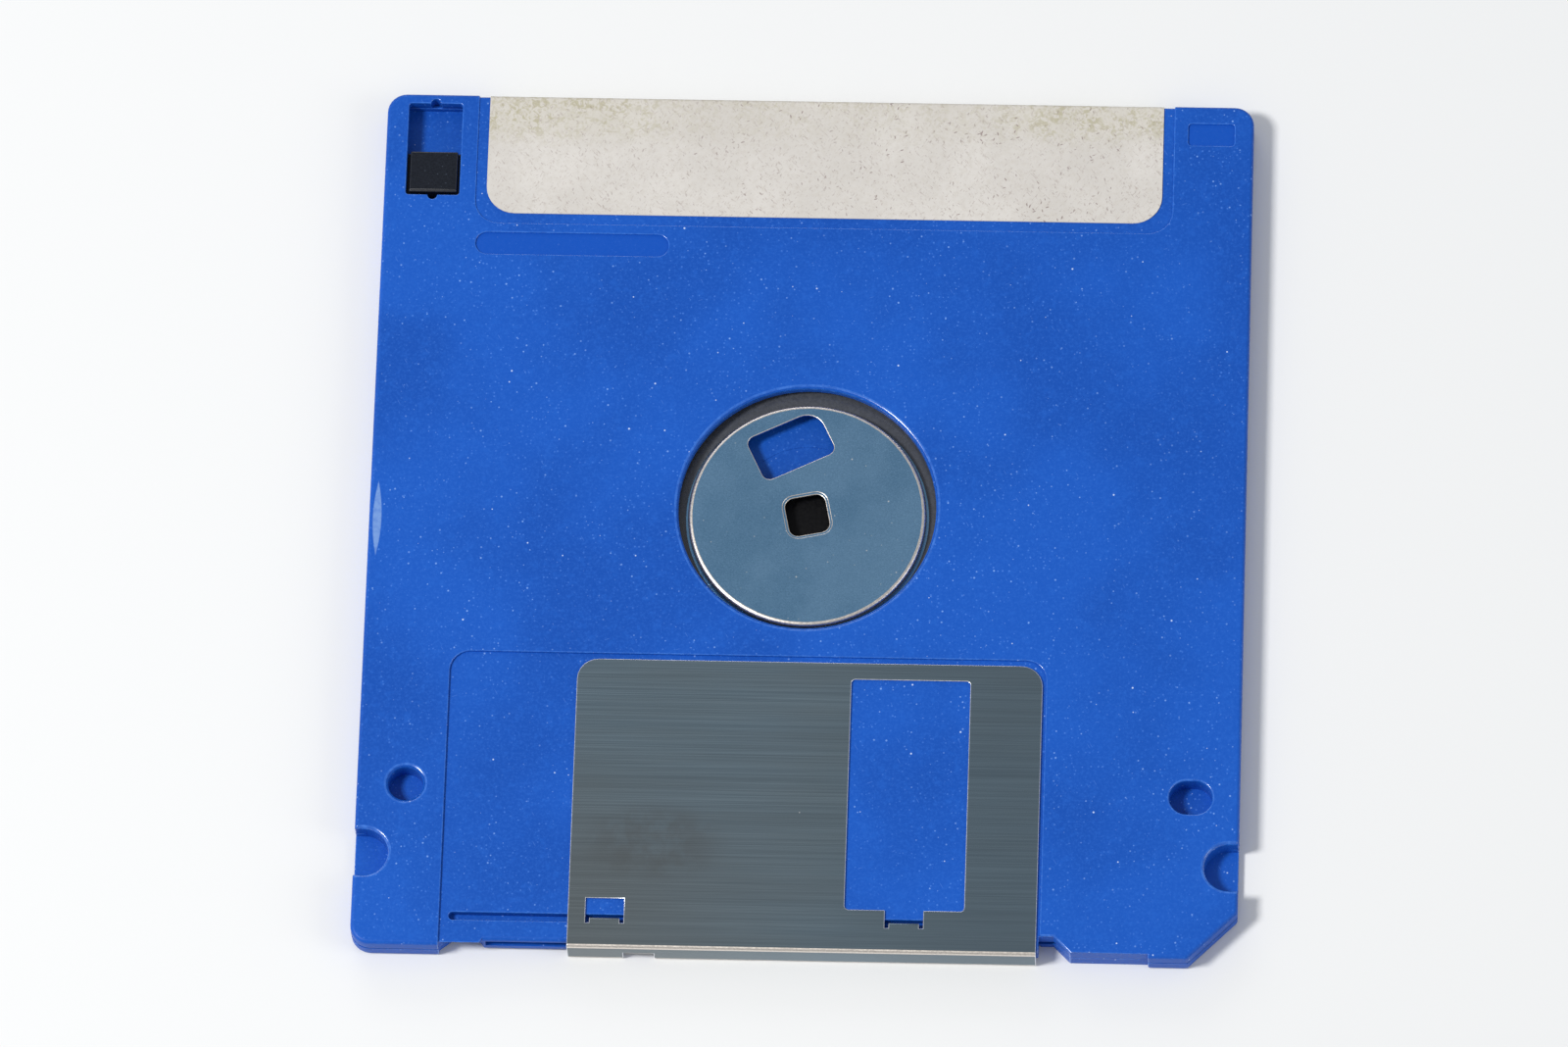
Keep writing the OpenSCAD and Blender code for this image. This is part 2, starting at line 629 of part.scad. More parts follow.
// folded steel shutter: both sheets, the folded edge, two guide tabs and the spring's tab
module shutter() {
    fo = fold_r + sheet_t;
    zt = sheet_hi + sheet_t;
    zb = sheet_lo - sheet_t;
    fy = tab_y - fold_r;
    sz = tab_z + sheet_t + fold_r;
    half = tab_relief / 2;
    color(steel) difference() {
        union() {
            difference() {
                intersection() {
                    along_x(sh_x0, sh_x1)
                        polygon(concat([[sh_end, zt]], arc(web_y + fo, zt - fo, fo, 90, 180, 5),
                                       arc(web_y + fo, zb + fo, fo, 180, 270, 5),
                                       [[sh_end, zb], [sh_end, sheet_lo]],
                                       arc(web_y + fo, zb + fo, fold_r, 270, 180, 5),
                                       arc(web_y + fo, zt - fo, fold_r, 180, 90, 5), [[sh_end, sheet_hi]]));
                    through() polygon(bay(sh_x0, sh_x1, front_y - 1, sh_end, shutter_r));
                }
                through()
                    polygon(rrect(win_x - window_w / 2, win_x + window_w / 2, win_y0, win_y1, 0.4, 4));
                // cut-outs that the guide tabs are folded from, with relief at each end of the fold
                box(tab_a_x - tab_w / 2, tab_a_x + tab_w / 2, fy, fy + tab_cut_l, split_z, case_t);
                box(tab_b_x - tab_w / 2, tab_b_x + tab_w / 2, fy, win_y0 + 0.5, split_z, case_t);
                for (x = [tab_a_x, tab_b_x], s = [-1, 1])
                    box(x + s * (tab_w / 2 - half) - half, x + s * (tab_w / 2 - half) + half,
                        fy - 0.3, fy + eps, split_z, case_t);
                // cut-out that the spring's tab is folded from
                box(stab_x - spring_tab_w / 2, stab_x + spring_tab_w / 2, front_y - 1, web_y + fo + 0.2,
                    -1, sz);
            }
            for (x = [tab_a_x, tab_b_x])
                along_x(x - tab_w / 2 + tab_relief, x + tab_w / 2 - tab_relief)
                    polygon(concat([[fy - 0.25, sheet_hi], [fy - 0.25, zt]],
                                   arc(fy, sheet_hi - fold_r, fo, 90, 0, 5),
                                   [[tab_y + sheet_t, sheet_hi - tab_deep], [tab_y, sheet_hi - tab_deep]],
                                   arc(fy, sheet_hi - fold_r, fold_r, 0, 90, 5)));
            along_x(stab_x - spring_tab_w / 2 + half, stab_x + spring_tab_w / 2 - half)
                polygon(concat([[web_y, sz + 0.3]], arc(web_y + fo, sz, fo, 180, 270, 5),
                               [[stab_y, tab_z], [stab_y, tab_z + sheet_t]],
                               arc(web_y + fo, sz, fold_r, 270, 180, 5), [[web_y + sheet_t, sz + 0.3]]));
        }
        translate([hook[0], hook[1], tab_z - 1]) cylinder(h = 2, r = wire_r + 0.1, $fn = 24);
    }
}

// torsion spring: hook, leg, coil and fixed leg as one swept wire
function between(p, q, n) = [for (i = [1:n]) p + (q - p) * i / n];
hook_out = [hook[0], hook[1], leg_z];
leg_ang = atan2(hook[1] - coil_c[1], hook[0] - coil_c[0]);
leg_far = norm(hook - coil_c);
fix_ang = atan2(anchor[1] - coil_c[1], anchor[0] - coil_c[0]) + 360;
fix_far = norm(anchor - coil_c);
turn_0 = leg_ang + acos(coil_r / leg_far);
turn_1 = fix_ang - acos(coil_r / fix_far) + 720;
coil_n = 40;
function coil_pt(t) = let (a = turn_0 + (turn_1 - turn_0) * t)
    [coil_c[0] + coil_r * cos(a), coil_c[1] + coil_r * sin(a), leg_z + (coil_top - leg_z) * t];
wire_path = concat([[hook[0], hook[1], tab_z + sheet_t + 0.25], hook_out + [0, 0, wire_r]],
                   between(hook_out + [-wire_r, 0, 0], coil_pt(0), 3),
                   [for (i = [1:coil_n]) coil_pt(i / coil_n)],
                   between(coil_pt(1), [anchor[0], anchor[1], coil_top], 2),
                   [[anchor[0] - 0.02, anchor[1], coil_top - wire_r], [anchor[0] - 0.02, anchor[1], leg_z]]);
wire_sides = 8;
function unit(v) = v / norm(v);
function tangent(p, i) = unit(p[min(i + 1, len(p) - 1)] - p[max(i - 1, 0)]);
function side_dir(t) = abs(t[2]) > 0.9 ? unit(cross(t, [0, 1, 0])) : unit(cross([0, 0, 1], t));
function ring_dirs(p) = [for (i = 0, s = side_dir(tangent(p, 0)); i < len(p);
                          i = i + 1, s = i < len(p) ? unit(s - (s * tangent(p, i)) * tangent(p, i)) : s) s];

module sweep_wire(p, r, m) {
    d = ring_dirs(p);
    pts = [for (i = [0:len(p) - 1]) let (t = tangent(p, i), u = d[i], v = cross(t, u))
           for (k = [0:m - 1]) p[i] + r * (cos(k * 360 / m) * u + sin(k * 360 / m) * v)];
    last = (len(p) - 1) * m;
    polyhedron(pts, concat([[for (k = [0:m - 1]) k]],
                           [for (i = [0:len(p) - 2], k = [0:m - 1])
                            [i * m + (k + 1) % m, i * m + k, (i + 1) * m + k, (i + 1) * m + (k + 1) % m]],
                           [[for (k = [m - 1:-1:0]) last + k]]), convexity = 8);
}

module shutter_spring() color([0.7, 0.7, 0.68]) sweep_wire(wire_path, wire_r, wire_sides);

// outline of the square spindle hole, larger all round by g
function drive_hole(g) =
    let (h = drive_sq / 2 + g) rrect(-h, h, -h, h, drive_r + g, 5);

// stamped steel hub: a cup with its flange behind the disk
module hub() color([0.55, 0.6, 0.64]) {
    ro = hub_d / 2;
    ri = ro - hub_t;
    rr = max(hub_rim - hub_t, 0.08);
    translate([0, disk_y, 0]) difference() {
        rotate_extrude($fn = 128)
            polygon(concat([[0, hub_top - hub_t]], arc(ri - rr, hub_top - hub_t - rr, rr, 90, 0, 4),
                           [[ri, flange_z], [flange_r, flange_z], [flange_r, flange_z + hub_t],
                            [ro, flange_z + hub_t]],
                           arc(ro - hub_rim, hub_top - hub_rim, hub_rim, 0, 90, 5), [[0, hub_top]]));
        rotate([0, 0, hub_turn]) {
            prism(flange_z, case_t) polygon(drive_hole(0));
            prism(hub_top - coin_d, case_t) polygon(drive_hole(coin_w));
            rotate([0, 0, pin_slot_at]) translate([0, ro - pin_slot_in, 0])
                rotate([0, 0, pin_slot_tilt - pin_slot_at]) prism(flange_z, case_t)
                    polygon(rrect(-pin_slot_l / 2, pin_slot_l / 2, -pin_slot_w / 2, pin_slot_w / 2,
                                  pin_slot_r, 6, pin_slot_lead));
        }
    }
}

// flat ring about an axis at that Y
module flat_ring(y, r_in, r_out, z, t) translate([0, y, z]) difference() {
    cylinder(h = t, r = r_out, $fn = 128);
    translate([0, 0, -1]) cylinder(h = t + 2, r = r_in, $fn = 128);
}

module hub_adhesive_ring() color([0.8, 0.78, 0.7])
    flat_ring(disk_y, film_bore, flange_r - glue_in, glue_z, glue_t);
module magnetic_disk() color([0.2, 0.17, 0.15]) flat_ring(disk_y, film_bore, film_r, film_z, film_t);

// woven liner with its cut-out at the head window
module liner(z) color([0.9, 0.9, 0.88]) difference() {
    flat_ring(hub_y, hub_pit_r + liner_gap, ring_r - liner_gap, z, liner_t);
    prism(0, case_t) polygon(rrect(-head_w / 2 - liner_cut, head_w / 2 + liner_cut, front_y - past,
                                   head_y1 + liner_cut, 1));
}
module hub_side_liner() liner(cav_z - liner_t);
module label_side_liner() liner(floor_t);

module hub_wear_pad() color([0.06, 0.06, 0.07])
    translate([0, hub_y, pad_z]) cylinder(h = pad_t, d = pad_d, $fn = 64);

// slide with side lips that run under the hub side face, and a dished top behind its front lip
module write_protect_slide() color([0.08, 0.09, 0.11]) difference() {
    union() {
        box(wp_cx - slide_w / 2, wp_cx + slide_w / 2, slide_y0, slide_y1, slide_z0, slide_top);
        box(wp_cx - slide_w / 2 - wp_lip, wp_cx + slide_w / 2 + wp_lip, slide_y0, slide_y1,
            slide_z0, cav_z - 0.12);
    }
    along_x(wp_cx - slide_w / 2 - 1, wp_cx + slide_w / 2 + 1)
        polygon([[slide_y0 + slide_lip, case_t], [slide_y0 + slide_lip + 0.1, slide_top - slide_dish],
                 [slide_y1 + 1, slide_top - slide_dish], [slide_y1 + 1, case_t]]);
}

// paper label folded over the label end, seated in its recess
module label() {
    d = label_recess_d;
    o = label_recess_d - label_t;
    ro = wrap_r + label_t;
    ci = rear_y - d - wrap_r;
    mid = (lab_x0 + lab_x1) / 2;
    half = (lab_x1 - lab_x0) / 2;
    color([0.86, 0.84, 0.79]) difference() {
        along_x(lab_x0, lab_x1)
            polygon(concat([[lab_y0, case_t - d], [lab_y0, case_t - o]],
                           arc(ci, case_t - d - wrap_r, ro, 90, 0, 4), arc(ci, d + wrap_r, ro, 360, 270, 4),
                           [[lab_back, o], [lab_back, d]],
                           arc(ci, d + wrap_r, wrap_r, 270, 360, 4),
                           arc(ci, case_t - d - wrap_r, wrap_r, 0, 90, 4)));
        for (f = [[lab_y0, split_z, case_t + 1], [lab_back, -1, split_z]], s = [-1, 1])
            prism(f[1], f[2])
                polygon(concat([[mid + s * (half + 1), f[0] - 1], [mid + s * (half + 1), f[0] + label_r]],
                               [for (p = arc(0, label_r, label_r, 0, -90, 8))
                                [mid + s * (half - label_r + p[0]), f[0] + p[1]]],
                               [[mid + s * (half - label_r), f[0] - 1]]));
    }
}

hub_side_shell();
label_side_shell();
shutter();
shutter_spring();
magnetic_disk();
hub();
hub_adhesive_ring();
hub_side_liner();
label_side_liner();
liner_lifter();
hub_wear_pad();
write_protect_slide();
label();
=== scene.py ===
import json
import math
from collections import namedtuple

import bmesh
import bpy
from mathutils import Matrix, Vector


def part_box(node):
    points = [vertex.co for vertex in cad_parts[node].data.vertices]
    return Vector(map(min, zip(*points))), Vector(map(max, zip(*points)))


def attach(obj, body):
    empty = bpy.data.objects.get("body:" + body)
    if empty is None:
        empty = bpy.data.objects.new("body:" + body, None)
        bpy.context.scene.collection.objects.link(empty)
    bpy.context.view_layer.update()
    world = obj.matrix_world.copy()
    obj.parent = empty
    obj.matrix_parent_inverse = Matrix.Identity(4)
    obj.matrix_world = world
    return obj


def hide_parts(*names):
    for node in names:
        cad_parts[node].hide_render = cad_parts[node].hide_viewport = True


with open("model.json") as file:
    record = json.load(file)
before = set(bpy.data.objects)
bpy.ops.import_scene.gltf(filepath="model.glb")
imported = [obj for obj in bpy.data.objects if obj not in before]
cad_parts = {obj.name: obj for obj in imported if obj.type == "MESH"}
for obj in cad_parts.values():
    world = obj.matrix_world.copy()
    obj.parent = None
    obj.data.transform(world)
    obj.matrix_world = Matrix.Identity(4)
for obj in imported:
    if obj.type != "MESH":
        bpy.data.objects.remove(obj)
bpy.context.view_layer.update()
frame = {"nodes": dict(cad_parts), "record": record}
scene = bpy.context.scene
scene.view_settings.view_transform = "Standard"

MM = 0.001

# places on the part, in mm
HUB_Y = 0.85
HUB_RIM_R = 11.6
NOTCH_X, NOTCH_Y, NOTCH_REACH = 41.3, -37.1, 2.6
HOLE_X, HOLE_Y, HOLE_REACH = 40.0, -29.6, 3.0
RAMP_X0, RAMP_X1, RAMP_Y, RAMP_Z = 24.9, 28.6, -44.3, 2.4
TAB_SLOT_X0, TAB_SLOT_X1, TAB_SLOT_Y = -32.4, -12.4, -44.0
OUTLINE_X, OUTLINE_Y = 44.0, 45.2
TOP_Z = 3.2
FOLD_Y, SHEET_Z = -46.6, 3.0
NICK_X, NICK_Y, NICK_HALF_WIDTH, NICK_HALF_LENGTH = -44.15, -0.6, 0.50, 4.3
BARE_RECESSES = ((-36.0, -14.5, 28.5, 32.2), (37.2, 44.2, 41.0, 46.3))
HANDLED_X, HANDLED_Y = -14.5, -35.5

# mesh work: distance in metres, angles in degrees
WELD = 2e-7
FLAT_ANGLE = 0.6
SHARP_ANGLE = 34
ROUND_SEGMENTS = 3

# ranges of edge angles in degrees
CHAMFERS = (36, 54)
CORNERS = (60, 180)
MOST_EDGES = (28, 180)
SHEET_EDGES = (40, 180)

# material numbers of a dressed piece
FACE, EDGE, FOLD = 0, 1, 2

# linear colours
BLUE = {
    "deep": (0.0040, 0.072, 0.410),
    "clear": (0.0065, 0.090, 0.485),
    "grain": (0.020, 0.140, 0.600),
    "mottle": (0.014, 0.122, 0.570),
    "faint_dust": (0.090, 0.260, 0.780),
    "dust": (0.220, 0.420, 0.880),
    "bright_dust": (0.560, 0.700, 0.960),
    "scratch": (0.130, 0.310, 0.820),
    "clean": (0.0020, 0.074, 0.455),
    "nick": (0.170, 0.310, 0.655),
    "edge": (0.006, 0.098, 0.500),
    "rubbed_and_highlit_edge": (0.030, 0.165, 0.640),
    "edge_dust": (0.42, 0.58, 0.92),
}
# the blue-grey tint of the shutter's tones is a painted reflection of blue sky
SHUTTER = {
    "dark_line": (0.146, 0.208, 0.260),
    "light_line": (0.208, 0.285, 0.343),
    "fine_line": (0.235, 0.292, 0.332),
    "broad_line": (0.160, 0.200, 0.225),
    "patch": (0.178, 0.208, 0.218),
    "right": (0.120, 0.172, 0.218),
    "front_left": (0.182, 0.202, 0.208),
    "handled": (0.135, 0.137, 0.135),
    "spot": (0.85, 0.86, 0.84),
}
# the hub's blue tint is a painted reflection of blue sky, not the steel's own colour
HUB = {
    "dark": (0.160, 0.330, 0.530),
    "light": (0.200, 0.385, 0.600),
    "grain": (0.270, 0.450, 0.660),
    "dust": (0.55, 0.68, 0.76),
    "bright_dust": (0.86, 0.90, 0.92),
}
SLIDE = {
    "dark": (0.0025, 0.0045, 0.0100),
    "light": (0.0060, 0.0095, 0.0180),
    "dust": (0.10, 0.13, 0.18),
}
LABEL = {
    "dark": (0.590, 0.565, 0.535),
    "light": (0.655, 0.630, 0.600),
    "mottle": (0.540, 0.505, 0.460),
    "grime": (0.400, 0.370, 0.245),
    "yellowed": (0.520, 0.490, 0.380),
    "fibre": (0.25, 0.19, 0.185),
    "hair": (0.35, 0.29, 0.27),
    "dot": (0.26, 0.19, 0.14),
}

# width in mm, range of edge angles, material number, and a rule for the edge's middle in mm
Round = namedtuple("Round", "width angles material rule")


class Shade:
    """A material's node tree, with object coordinates in millimetres."""

    def __init__(self, name):
        self.mat = bpy.data.materials.new(name)
        self.mat.use_nodes = True
        self.nt = self.mat.node_tree
        self.nt.nodes.clear()
        self.out = self.nt.nodes.new("ShaderNodeOutputMaterial")
        self.bsdf = self.nt.nodes.new("ShaderNodeBsdfPrincipled")
        self.link(self.bsdf.outputs[0], self.out.inputs["Surface"])
        coord = self.nt.nodes.new("ShaderNodeTexCoord")
        scale = self.nt.nodes.new("ShaderNodeMapping")
        scale.inputs["Scale"].default_value = (1 / MM, 1 / MM, 1 / MM)
        self.link(coord.outputs["Object"], scale.inputs["Vector"])
        self.mm = scale.outputs["Vector"]
        split = self.nt.nodes.new("ShaderNodeSeparateXYZ")
        self.link(self.mm, split.inputs[0])
        self.x, self.y, self.z = split.outputs
        self.height = None

    def link(self, a, b):
        self.nt.links.new(a, b)

    def put(self, socket, value):
        """Writes a number, a vector or a colour on the socket, or links another socket to it."""
        if isinstance(value, (int, float)):
            socket.default_value = value
        elif isinstance(value, (tuple, list)):
            opaque = len(value) == 3 and len(socket.default_value) == 4
            socket.default_value = (*value, 1) if opaque else value
        else:
            self.link(value, socket)

    def set(self, **values):
        """Puts values on the shader's inputs, named with _ for each space."""
        for key, value in values.items():
            self.put(self.bsdf.inputs[key.replace("_", " ")], value)

    def math(self, op, a, b=0.0):
        n = self.nt.nodes.new("ShaderNodeMath")
        n.operation = op
        self.put(n.inputs[0], a)
        self.put(n.inputs[1], b)
        return n.outputs[0]

    def times(self, a, b):
        return self.math("MULTIPLY", a, b)

    def most(self, values):
        """The greatest of several values."""
        top = values[0]
        for value in values[1:]:
            top = self.math("MAXIMUM", top, value)
        return top

    def ramp(self, value, a, b, lo=0.0, hi=1.0):
        """value from a..b to lo..hi, held at both ends."""
        n = self.nt.nodes.new("ShaderNodeMapRange")
        n.clamp = True
        n.interpolation_type = "SMOOTHSTEP"
        for i, v in enumerate((value, a, b, lo, hi)):
            self.put(n.inputs[i], v)
        return n.outputs[0]

    def cell_space(self, size, turn=0.0, shift=(0.0, 0.0, 0.0)):
        """Coordinates that are turned about Z, in cells of that size in mm."""
        n = self.nt.nodes.new("ShaderNodeMapping")
        n.vector_type = "TEXTURE"
        n.inputs["Scale"].default_value = size
        n.inputs["Rotation"].default_value = (0, 0, turn)
        n.inputs["Location"].default_value = shift
        self.link(self.mm, n.inputs["Vector"])
        return n.outputs[0]

    def noise(self, scale, detail=3.0, rough=0.55, vector=None, distortion=0.0):
        n = self.nt.nodes.new("ShaderNodeTexNoise")
        n.inputs["Scale"].default_value = scale
        n.inputs["Detail"].default_value = detail
        n.inputs["Roughness"].default_value = rough
        n.inputs["Distortion"].default_value = distortion
        self.link(vector or self.mm, n.inputs["Vector"])
        return n.outputs[0]

    def streaks(self, size, detail, rough, turn=0.0, shift=(0.0, 0.0, 0.0)):
        """Noise that is drawn out along the longer sides of its cells."""
        return self.noise(1.0, detail, rough, self.cell_space(size, turn, shift))

    def mix(self, factor, a, b):
        n = self.nt.nodes.new("ShaderNodeMix")
        n.data_type = "RGBA"
        n.clamp_factor = True
        self.put(n.inputs[0], factor)
        self.put(n.inputs[6], a)
        self.put(n.inputs[7], b)
        return n.outputs[2]

    def specks(self, cell, radius, share, turn=0.0, shift=(0.0, 0.0, 0.0)):
        """Specks in that share of the cells. Radius is in cells, cell is (x, y, z) in mm or one length."""
        size = cell if isinstance(cell, tuple) else (cell, cell, cell)
        n = self.nt.nodes.new("ShaderNodeTexVoronoi")
        n.inputs["Scale"].default_value = 1.0
        self.link(self.cell_space(size, turn, shift), n.inputs["Vector"])
        rnd = self.nt.nodes.new("ShaderNodeSeparateColor")
        self.link(n.outputs["Color"], rnd.inputs[0])
        reach = self.ramp(rnd.outputs[1], 0.0, 1.0, radius * 0.35, radius)
        near = self.ramp(self.math("SUBTRACT", reach, n.outputs["Distance"]), 0.0, radius * 0.4)
        return self.times(near, self.math("LESS_THAN", rnd.outputs[0], share))

    def bump(self, height, strength, distance_mm):
        """Adds a bump to those that the shader has."""
        n = self.nt.nodes.new("ShaderNodeBump")
        n.inputs["Strength"].default_value = strength
        n.inputs["Distance"].default_value = distance_mm * MM
        self.link(height, n.inputs["Height"])
        if self.height is not None:
            self.link(self.height, n.inputs["Normal"])
        self.height = n.outputs[0]
        self.link(self.height, self.bsdf.inputs["Normal"])


def left_edge_nick(s):
    """Share of the pale leaf-shaped nick on the top face near the left edge, pointed at both ends."""
    along = s.times(s.math("SUBTRACT", s.y, NICK_Y), 1.0 / NICK_HALF_LENGTH)
    half_width = s.times(s.math("SUBTRACT", 1.0, s.times(along, along)), NICK_HALF_WIDTH)
    off = s.math("ABSOLUTE", s.math("SUBTRACT", s.x, NICK_X))
    leaf = s.times(s.ramp(s.math("SUBTRACT", half_width, off), 0.0, 0.12), s.ramp(s.z, 2.9, 3.1))
    return s.times(leaf, s.ramp(s.noise(1.8, 3, 0.6), 0.3, 0.6, 0.62, 0.95))


def clean_floors(s):
    """Share of the two bare shallow recesses, whose floors are darker and hold little dust."""
    low = s.ramp(s.z, 3.28, 3.24)
    fade = 0.05
    shares = []
    for x0, x1, y0, y1 in BARE_RECESSES:
        across = s.times(s.ramp(s.x, x0, x0 + fade), s.ramp(s.x, x1, x1 - fade))
        along = s.times(s.ramp(s.y, y0, y0 + fade), s.ramp(s.y, y1, y1 - fade))
        shares.append(s.times(s.times(across, along), low))
    return s.most(shares)


def blue_plastic(name):
    """Satin blue moulding with dust, fine scratches, clean recess floors and the nick."""
    s = Shade(name)
    # cloudy tone, then a fine mottle
    col = s.mix(s.ramp(s.noise(0.06, 2), 0.35, 0.65), BLUE["deep"], BLUE["clear"])
    grain = s.noise(3.4, 4, 0.75)
    col = s.mix(s.ramp(grain, 0.45, 0.72, 0.0, 0.42), col, BLUE["grain"])
    col = s.mix(s.ramp(s.noise(1.1, 3, 0.6), 0.52, 0.70, 0.0, 0.30), col, BLUE["mottle"])
    # dust: faint, middling and bright dots, thicker in some patches
    patch = s.ramp(s.noise(0.13, 3), 0.36, 0.66, 0.35, 1.0)
    faint = s.times(s.specks(cell=0.40, radius=0.32, share=0.60), patch)
    dots = s.times(s.specks(cell=0.55, radius=0.23, share=0.30, turn=0.4, shift=(3.1, 7.7, 0)), patch)
    bright = s.specks(cell=1.25, radius=0.10, share=0.22, shift=(11.3, 4.9, 0))
    col = s.mix(s.times(faint, 0.50), col, BLUE["faint_dust"])
    col = s.mix(s.times(dots, 0.75), col, BLUE["dust"])
    col = s.mix(s.times(bright, 0.90), col, BLUE["bright_dust"])
    # fine hair scratches at several angles, broken up
    hairs = s.most([s.specks(cell=(3.4, 0.34, 0.6), radius=0.115, share=0.22, turn=turn, shift=shift)
                    for turn, shift in ((0.35, (0, 0, 0)), (-1.05, (5, 9, 0)), (2.1, (14, 3, 0)))])
    col = s.mix(s.times(hairs, 0.30), col, BLUE["scratch"])
    col = s.mix(s.times(clean_floors(s), 0.85), col, BLUE["clean"])
    col = s.mix(left_edge_nick(s), col, BLUE["nick"])
    dust = s.most([dots, bright])
    s.set(Base_Color=col, Specular_IOR_Level=0.22, IOR=1.5)
    s.set(Roughness=s.math("ADD", s.ramp(grain, 0.3, 0.7, 0.36, 0.48), s.times(dust, 0.3)))
    s.bump(s.noise(5.5, 3, 0.6), 0.18, 0.02)
    s.bump(dust, 0.5, 0.02)
    return s.mat


def worn_and_highlit_blue_edge():
    """The softened edges of the moulding: smoother than its faces, and paler, partly from wear and partly
    as a painted highlight.
    """
    s = Shade("worn_and_highlit_blue_edge")
    rub = s.noise(1.6, 4, 0.7)
    # the paler rubbed tone is partly wear and partly a painted highlight
    col = s.mix(s.ramp(rub, 0.35, 0.7), BLUE["edge"], BLUE["rubbed_and_highlit_edge"])
    dots = s.specks(cell=0.5, radius=0.22, share=0.16)
    col = s.mix(s.times(dots, 0.6), col, BLUE["edge_dust"])
    s.set(Base_Color=col, Specular_IOR_Level=0.8, IOR=1.5, Roughness=s.ramp(rub, 0.3, 0.7, 0.15, 0.25))
    s.bump(s.noise(4.0, 3, 0.6), 0.12, 0.02)
    return s.mat


def shutter_steel():
    """Brushed steel with rolled lines along X, fine in Y and in Z."""
    s = Shade("brushed_shutter_steel_with_painted_sky")
    line = s.streaks((26, 0.070, 0.070), 3, 0.7)
    fine = s.streaks((6, 0.030, 0.030), 2, 0.6, 0, (2, 5, 1))
    broad = s.streaks((34, 1.8, 1.8), 2, 0.5)
    patch = s.ramp(s.noise(0.055, 3), 0.35, 0.7)
    col = s.mix(s.ramp(line, 0.25, 0.75), SHUTTER["dark_line"], SHUTTER["light_line"])
    col = s.mix(s.ramp(fine, 0.3, 0.72, 0.0, 0.30), col, SHUTTER["fine_line"])
    col = s.mix(s.ramp(broad, 0.35, 0.7, 0.0, 0.30), col, SHUTTER["broad_line"])
    # tone over the whole sheet: patches, and a blue-grey tint that is a painted sky reflection, bluer at
    # the right, plainer at the front left
    col = s.mix(s.times(patch, 0.26), col, SHUTTER["patch"])
    col = s.mix(s.ramp(s.x, -4.0, 22.0, 0.0, 0.52), col, SHUTTER["right"])
    front_left = s.times(s.ramp(s.x, 8.0, -22.0), s.ramp(s.y, -22.0, -42.0))
    col = s.mix(s.times(front_left, 0.70), col, SHUTTER["front_left"])
    # a browner handled patch near the small hole
    across = s.math("POWER", s.times(s.math("SUBTRACT", s.x, HANDLED_X), 0.13), 2.0)
    along = s.math("POWER", s.times(s.math("SUBTRACT", s.y, HANDLED_Y), 0.22), 2.0)
    dull = s.times(s.ramp(s.math("ADD", across, along), 0.0, 1.2, 1.0, 0.0),
                   s.ramp(s.noise(0.4, 4, 0.6), 0.3, 0.6))
    col = s.mix(s.times(dull, 0.40), col, SHUTTER["handled"])
    spots = s.specks(cell=5.0, radius=0.030, share=0.9, shift=(4, 1, 0.3))
    col = s.mix(s.times(spots, 0.9), col, SHUTTER["spot"])
    s.set(Base_Color=col, Metallic=1.0, Roughness=s.ramp(line, 0.2, 0.8, 0.30, 0.42))
    s.bump(line, 0.14, 0.012)
    s.bump(fine, 0.12, 0.006)
    return s.mat


def cut_steel(name, colour, rough):
    """Plain steel of one colour: a wire's own, or bright steel as a painted highlight on cut edges, a fold
    or a rim.
    """
    s = Shade(name)
    n = s.noise(6, 3)
    s.set(Base_Color=s.mix(s.ramp(n, 0.3, 0.7), tuple(c * 0.86 for c in colour), colour), Metallic=1.0)
    s.set(Roughness=s.ramp(n, 0.3, 0.7, rough - 0.05, rough + 0.07))
    s.bump(n, 0.12, 0.01)
    return s.mat


def hub_steel():
    """Satin steel with a fine grain and some dust, tinted blue as a painted reflection of blue sky."""
    s = Shade("hub_steel_with_painted_sky")
    cloud = s.noise(0.16, 3)
    grain = s.noise(7.0, 4, 0.7)
    col = s.mix(s.ramp(cloud, 0.35, 0.65), HUB["dark"], HUB["light"])
    col = s.mix(s.ramp(grain, 0.45, 0.75, 0.0, 0.40), col, HUB["grain"])
    dust = s.specks(cell=0.55, radius=0.20, share=0.14)
    col = s.mix(s.times(dust, 0.5), col, HUB["dust"])
    bright = s.specks(cell=1.1, radius=0.10, share=0.6, turn=0.3, shift=(2, 3, 0))
    col = s.mix(s.times(bright, 0.85), col, HUB["bright_dust"])
    s.set(Base_Color=col, Metallic=1.0, Roughness=s.ramp(grain, 0.3, 0.75, 0.26, 0.40))
    s.bump(grain, 0.14, 0.01)
    return s.mat


def plain(name, dark, light, rough, scale=3.0, bump=0.2, depth=0.02, spec=0.45):
    """One tone with a soft mottle."""
    s = Shade(name)
    n = s.noise(scale, 4, 0.6)
    s.set(Base_Color=s.mix(s.ramp(n, 0.3, 0.7), dark, light), Specular_IOR_Level=spec)
    s.set(Roughness=s.ramp(n, 0.3, 0.7, rough - 0.06, rough + 0.06))
    s.bump(n, bump, depth)
    return s.mat


def slide_plastic():
    """Black satin plastic with some dust."""
    s = Shade("black_slide_plastic")
    grain = s.noise(7, 3, 0.6)
    col = s.mix(s.ramp(grain, 0.35, 0.7), SLIDE["dark"], SLIDE["light"])
    dust = s.specks(cell=0.45, radius=0.22, share=0.20)
    col = s.mix(s.times(dust, 0.30), col, SLIDE["dust"])
    s.set(Base_Color=col, Roughness=s.ramp(grain, 0.3, 0.7, 0.34, 0.46), Specular_IOR_Level=0.28)
    s.bump(grain, 0.2, 0.02)
    return s.mat


